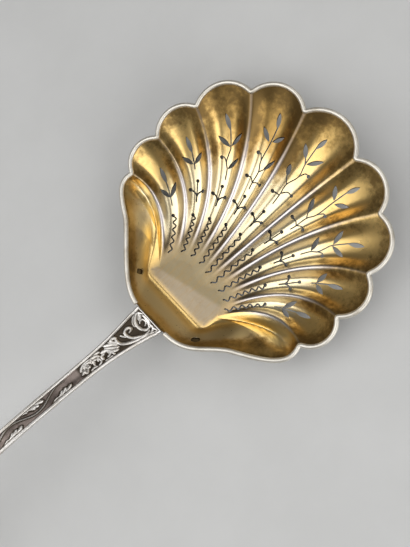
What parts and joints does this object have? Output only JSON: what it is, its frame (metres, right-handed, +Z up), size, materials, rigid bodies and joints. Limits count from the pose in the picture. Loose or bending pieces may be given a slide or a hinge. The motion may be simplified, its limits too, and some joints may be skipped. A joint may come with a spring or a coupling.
{
  "type": "sugar sifter spoon",
  "caption": "Sifter spoon with a fluted shell bowl pierced with leaf sprays, a wire rim and an arched, bordered handle for dusting sugar.",
  "frame": {"origin": "middle of the flat under the bowl, on the table", "axes": "+X from the handle to the tip of the bowl, +Y to the left, +Z up out of the bowl"},
  "size_m": [0.2054, 0.0782, 0.0341],
  "materials": {
    "gilt_silver": "worn gilding over silver, browned in the hollows and rubbed to silver on the ribs",
    "silver": "polished silver with fine scratches",
    "oxidised_silver": "polished silver relief with brown-black patina in its sunk ground"
  },
  "bodies": {
    "root": {"shell_bowl": "gilt_silver", "rim_wire": "silver", "handle": "oxidised_silver", "heel_plate": "silver"}
  },
  "joints": []
}
